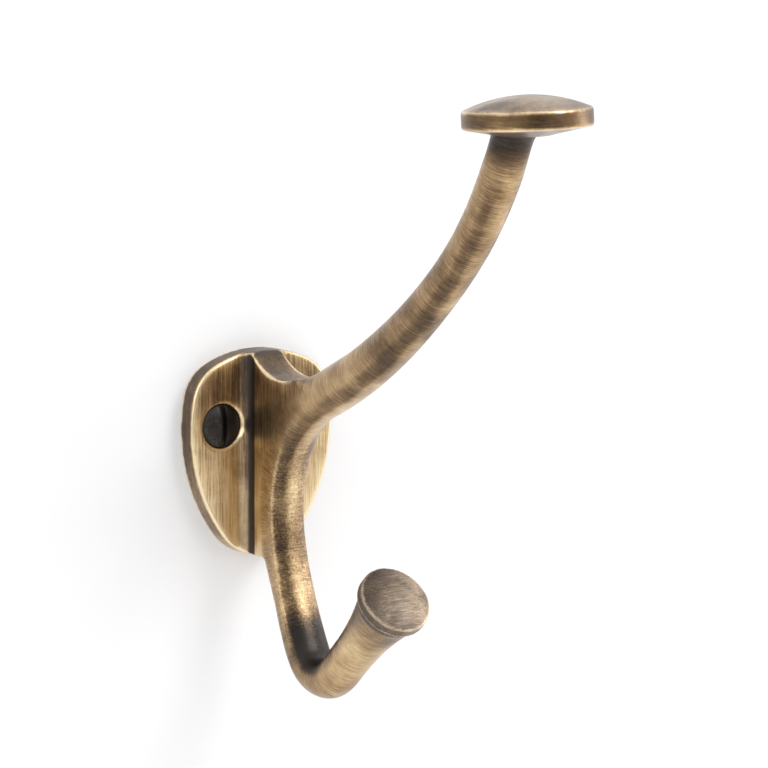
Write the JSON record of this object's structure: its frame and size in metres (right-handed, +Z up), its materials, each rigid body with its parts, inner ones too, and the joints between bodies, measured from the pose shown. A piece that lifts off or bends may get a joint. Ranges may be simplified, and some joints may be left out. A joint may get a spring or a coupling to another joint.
{
  "type": "double hook",
  "caption": "Cast wall hook with a long upper arm and a short lower prong, each ending in a domed button, on an egg-shaped plate held by countersunk screws.",
  "frame": {"origin": "on the wall plane, midway between the two fixing screws", "axes": "+Z is up, +Y points into the wall, and the hook stands out along -Y"},
  "size_m": [0.0322, 0.1252, 0.1223],
  "materials": {
    "antique_brass": "brushed and antiqued",
    "dark_steel": "blackened, slotted heads"
  },
  "bodies": {
    "root": {"hook_casting": "antique_brass", "mounting_screws": "dark_steel"}
  },
  "joints": []
}
